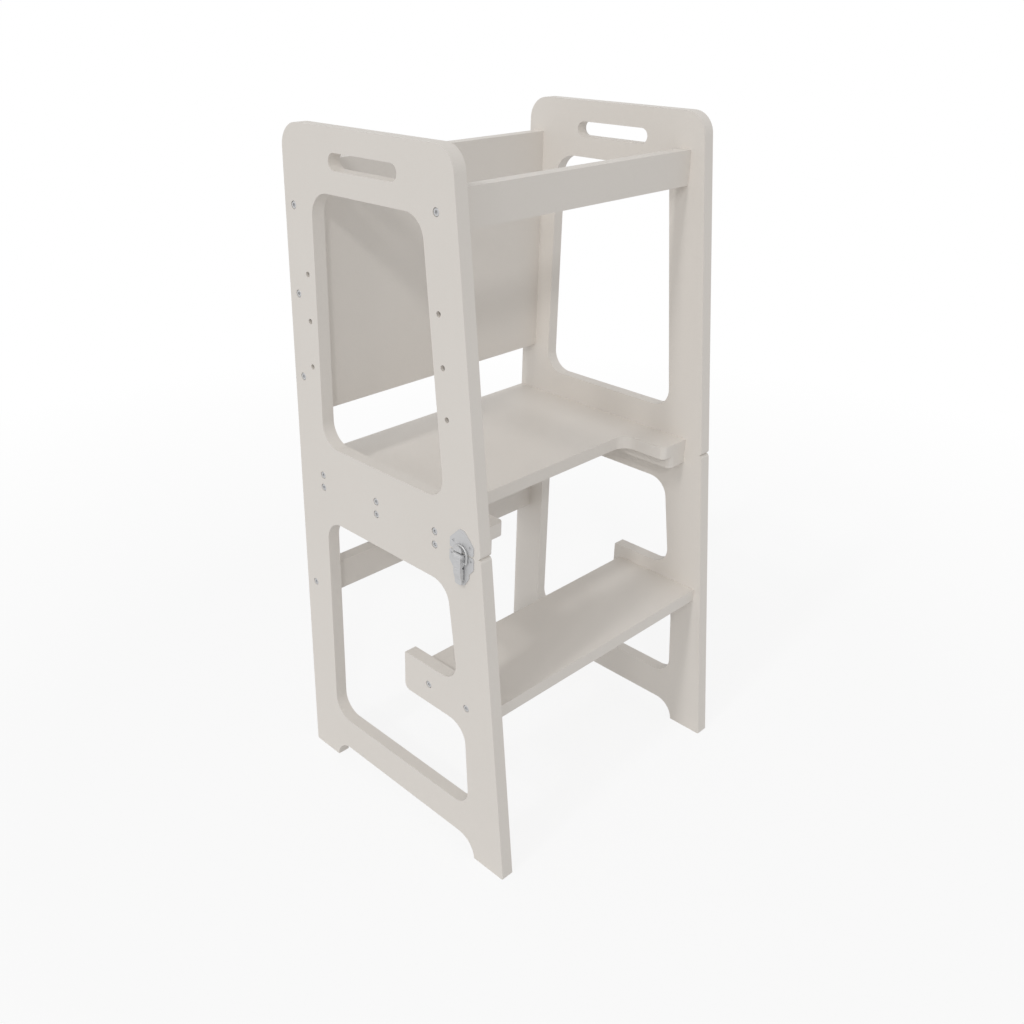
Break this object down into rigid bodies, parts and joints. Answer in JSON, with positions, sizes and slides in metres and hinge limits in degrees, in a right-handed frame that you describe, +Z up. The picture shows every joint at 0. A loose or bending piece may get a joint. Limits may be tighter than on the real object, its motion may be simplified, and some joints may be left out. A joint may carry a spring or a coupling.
{
  "type": "toddler kitchen helper stool",
  "caption": "Painted wooden helper tower for a toddler: guard-railed standing platform over a stepped base, hinged at the rear seam and held shut by draw latches.",
  "frame": {"origin": "centre of the depth and width over all, on the floor", "axes": "+X across the stool to the right as seen from the step side, +Y from the step side to the rear, +Z up"},
  "size_m": [0.475, 0.402, 0.9144],
  "materials": {
    "painted_board": "satin greige paint over smooth board",
    "painted_tread": "satin greige paint over smooth board",
    "bolt_steel": "nickel-plated",
    "hinge_steel": "nickel-plated",
    "latch_steel": "nickel-plated",
    "brass": "zinc-plated thread insert"
  },
  "bodies": {
    "base": {"lower_side_left": "painted_board", "lower_side_right": "painted_board", "lower_frame_board": "painted_tread", "lower_rear_rail": "painted_board", "step_board": "painted_tread", "bolts_frame_board": "bolt_steel", "bolts_rear_rail": "bolt_steel", "bolts_step": "bolt_steel", "inserts_lower": "brass", "hinge_leaves_lower": "hinge_steel", "hinge_pins": "hinge_steel", "hinge_screws_lower": "hinge_steel", "latch_base_left": "latch_steel", "latch_base_right": "latch_steel", "lever_pin_left": "latch_steel", "lever_pin_right": "latch_steel", "latch_screws_lower": "latch_steel"},
    "upper": {"upper_side_left": "painted_board", "upper_side_right": "painted_board", "platform": "painted_tread", "back_panel": "painted_board", "front_top_rail": "painted_board", "bolts_platform": "bolt_steel", "bolts_back_panel": "bolt_steel", "bolts_front_rail": "bolt_steel", "inserts_upper": "brass", "hinge_leaves_upper": "hinge_steel", "hinge_screws_upper": "hinge_steel", "latch_catch_left": "latch_steel", "latch_catch_right": "latch_steel", "latch_screws_upper": "latch_steel"},
    "lever_left": {"latch_lever_left": "latch_steel"},
    "lever_right": {"latch_lever_right": "latch_steel"},
    "hook_left": {"latch_hook_left": "latch_steel"},
    "hook_right": {"latch_hook_right": "latch_steel"}
  },
  "joints": [
    {"name": "fold", "type": "hinge", "parent": "base", "child": "upper", "pos_m": [0, 0.19815, 0.4572], "axis": [-1, 0, 0], "range_deg": [0, 180]},
    {"name": "lever_left_turn", "type": "hinge", "parent": "base", "child": "lever_left", "pos_m": [-0.2341, -0.11875, 0.4542], "axis": [0, 1, 0], "range_deg": [0, 100]},
    {"name": "lever_right_turn", "type": "hinge", "parent": "base", "child": "lever_right", "pos_m": [0.2341, -0.11875, 0.4542], "axis": [0, -1, 0], "range_deg": [0, 100]},
    {"name": "hook_left_turn", "type": "hinge", "parent": "lever_left", "child": "hook_left", "pos_m": [-0.2325, -0.11875, 0.4462], "axis": [0, -1, 0], "range_deg": [0, 70]},
    {"name": "hook_right_turn", "type": "hinge", "parent": "lever_right", "child": "hook_right", "pos_m": [0.2325, -0.11875, 0.4462], "axis": [0, 1, 0], "range_deg": [0, 70]}
  ],
  "couplings": [
    {"joint": "hook_left_turn", "follows": "lever_left_turn", "ratio": 0.7},
    {"joint": "hook_right_turn", "follows": "lever_right_turn", "ratio": 0.7}
  ]
}
